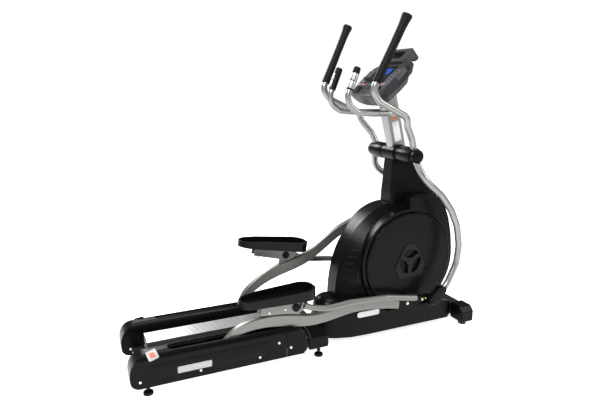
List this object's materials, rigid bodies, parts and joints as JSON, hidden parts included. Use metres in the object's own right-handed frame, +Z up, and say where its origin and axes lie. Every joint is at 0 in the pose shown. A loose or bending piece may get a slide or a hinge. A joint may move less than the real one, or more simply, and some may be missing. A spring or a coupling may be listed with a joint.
{
  "type": "elliptical trainer",
  "caption": "Rear-rail elliptical trainer with crank discs beside a housing, swinging arms with hand grips, ribbed pedals, a fixed handlebar and a console.",
  "frame": {"origin": "on the floor, in the middle of the machine's plan outline", "axes": "+X towards the console end, +Y to the user's left, +Z up"},
  "size_m": [2.11, 0.657, 1.8228],
  "materials": {
    "dark_steel": "satin black paint",
    "black_plastic": "fine grained satin black",
    "dark_panel": "satin charcoal",
    "black_rubber": "matte",
    "bare_steel": "zinc plated",
    "aluminium": "ribbed extrusion",
    "mast_paint": "satin silver paint",
    "silver_paint": "satin metallic paint",
    "arm_paint": "satin warm grey paint",
    "soft_grip": "closed foam",
    "pedal_rubber": "moulded tread",
    "console_grey": "satin grey",
    "display": "clear window over a blue display",
    "pulley_plastic": "moulded",
    "roller_plastic": "cast polyurethane",
    "belt_rubber": "ribbed belt",
    "cast_wheel": "machined rim",
    "magnet_steel": "plated"
  },
  "bodies": {
    "frame": {"main_frame": "dark_steel", "stabilizers": "dark_steel", "stabilizer_caps": "black_plastic", "levelling_feet": "black_rubber", "track_rails": "bare_steel", "centre_beam": "aluminium", "base_shroud": "black_plastic", "neck_cover": "black_plastic", "mast": "mast_paint", "mast_collar": "black_plastic", "pivot_axle": "bare_steel", "crank_bearings": "bare_steel", "drive_brackets": "dark_steel", "drive_belt": "belt_rubber", "brake_magnet": "magnet_steel", "fixed_handlebar": "silver_paint", "fixed_grips": "soft_grip", "console_front": "console_grey", "console_back": "dark_panel", "display_lens": "display", "track_cover_right": "black_plastic", "track_cover_left": "black_plastic", "side_shell_right": "black_plastic", "side_shell_left": "black_plastic"},
    "crank": {"crank_shaft": "bare_steel", "drive_pulley": "pulley_plastic", "hub_covers": "dark_panel", "crank_disc_right": "black_plastic", "crank_disc_left": "black_plastic"},
    "flywheel_body": {"flywheel": "cast_wheel"},
    "idler_body": {"idler_pulley": "pulley_plastic"},
    "start_key_body": {"start_key": "black_rubber"},
    "faster_key_body": {"faster_key": "black_rubber"},
    "slower_key_body": {"slower_key": "black_rubber"},
    "carriage_right": {"roller_axle_right": "bare_steel"},
    "roller_right": {"track_roller_right": "roller_plastic"},
    "arm_right": {"main_arm_right": "arm_paint", "bearing_block_right": "black_plastic"},
    "link_right": {"pedal_link_right": "arm_paint", "rod_end_right": "black_plastic", "pedal_right": "pedal_rubber"},
    "swing_right": {"swing_barrel_right": "silver_paint", "handle_tube_right": "silver_paint", "grip_right": "soft_grip", "swing_tube_right": "silver_paint", "joint_cover_right": "black_plastic"},
    "wheel_right": {"transport_wheel_right": "black_rubber"},
    "carriage_left": {"roller_axle_left": "bare_steel"},
    "roller_left": {"track_roller_left": "roller_plastic"},
    "arm_left": {"main_arm_left": "arm_paint", "bearing_block_left": "black_plastic"},
    "link_left": {"pedal_link_left": "arm_paint", "rod_end_left": "black_plastic", "pedal_left": "pedal_rubber"},
    "swing_left": {"swing_barrel_left": "silver_paint", "handle_tube_left": "silver_paint", "grip_left": "soft_grip", "swing_tube_left": "silver_paint", "joint_cover_left": "black_plastic"},
    "wheel_left": {"transport_wheel_left": "black_rubber"}
  },
  "joints": [
    {"name": "crank_turn", "type": "hinge", "parent": "frame", "child": "crank", "pos_m": [0.556, 0, 0.458], "axis": [0, 1, 0], "continuous": true},
    {"name": "flywheel_turn", "type": "hinge", "parent": "frame", "child": "flywheel_body", "pos_m": [0.736, 0, 0.3], "axis": [0, 1, 0], "continuous": true},
    {"name": "idler_turn", "type": "hinge", "parent": "frame", "child": "idler_body", "pos_m": [0.75581, 0, 0.41607], "axis": [0, 1, 0], "continuous": true},
    {"name": "stride_right", "type": "slide", "parent": "frame", "child": "carriage_right", "axis": [1, 0, 0], "range_m": [-0.07, 0.27]},
    {"name": "roller_turn_right", "type": "hinge", "parent": "carriage_right", "child": "roller_right", "pos_m": [-0.60998, -0.186, 0.155], "axis": [0, 1, 0], "continuous": true},
    {"name": "lift_right", "type": "hinge", "parent": "carriage_right", "child": "arm_right", "pos_m": [-0.60998, -0.186, 0.155], "axis": [0, -1, 0], "range_deg": [0, 26.3]},
    {"name": "pedal_pivot_right", "type": "hinge", "parent": "arm_right", "child": "link_right", "pos_m": [-0.1978, -0.186, 0.32356], "axis": [0, -1, 0], "range_deg": [-37.3, 0.2]},
    {"name": "handle_swing_right", "type": "hinge", "parent": "frame", "child": "swing_right", "pos_m": [0.528, -0.15, 1.084], "axis": [0, -1, 0], "range_deg": [-4.9, 18.5]},
    {"name": "transport_wheel_turn_right", "type": "hinge", "parent": "frame", "child": "wheel_right", "pos_m": [1.029, -0.072, 0.036], "axis": [0, 1, 0], "continuous": true},
    {"name": "stride_left", "type": "slide", "parent": "frame", "child": "carriage_left", "axis": [1, 0, 0], "range_m": [-0.27, 0.07]},
    {"name": "roller_turn_left", "type": "hinge", "parent": "carriage_left", "child": "roller_left", "pos_m": [-0.39365, 0.186, 0.155], "axis": [0, 1, 0], "continuous": true},
    {"name": "lift_left", "type": "hinge", "parent": "carriage_left", "child": "arm_left", "pos_m": [-0.39365, 0.186, 0.155], "axis": [0, -1, 0], "range_deg": [-26.3, 0]},
    {"name": "pedal_pivot_left", "type": "hinge", "parent": "arm_left", "child": "link_left", "pos_m": [-0.09886, 0.186, 0.48877], "axis": [0, -1, 0], "range_deg": [-0.2, 37.3]},
    {"name": "handle_swing_left", "type": "hinge", "parent": "frame", "child": "swing_left", "pos_m": [0.528, 0.15, 1.084], "axis": [0, -1, 0], "range_deg": [-18.5, 4.9]},
    {"name": "transport_wheel_turn_left", "type": "hinge", "parent": "frame", "child": "wheel_left", "pos_m": [1.029, 0.072, 0.036], "axis": [0, 1, 0], "continuous": true},
    {"name": "start_key_press", "type": "slide", "parent": "frame", "child": "start_key_body", "axis": [0.6561, 0, -0.7547], "range_m": [0, 0.0025], "stiffness_N_per_m": 300},
    {"name": "faster_key_press", "type": "slide", "parent": "frame", "child": "faster_key_body", "axis": [0.6561, 0, -0.7547], "range_m": [0, 0.0025], "stiffness_N_per_m": 300},
    {"name": "slower_key_press", "type": "slide", "parent": "frame", "child": "slower_key_body", "axis": [0.6561, 0, -0.7547], "range_m": [0, 0.0025], "stiffness_N_per_m": 300}
  ],
  "couplings": [
    {"joint": "flywheel_turn", "follows": "crank_turn", "ratio": 5.2105},
    {"joint": "idler_turn", "follows": "crank_turn", "ratio": -5.4197},
    {"joint": "stride_left", "follows": "stride_right", "ratio": -1},
    {"joint": "roller_turn_right", "follows": "stride_right", "rad_per_m": 33.67},
    {"joint": "roller_turn_left", "follows": "stride_right", "rad_per_m": -33.67},
    {"joint": "handle_swing_right", "follows": "stride_right", "rad_per_m": 1.19},
    {"joint": "handle_swing_left", "follows": "stride_right", "rad_per_m": -1.19},
    {"joint": "lift_left", "follows": "lift_right", "ratio": -1},
    {"joint": "pedal_pivot_right", "follows": "lift_right", "ratio": -1.41},
    {"joint": "pedal_pivot_left", "follows": "lift_right", "ratio": 1.41}
  ]
}
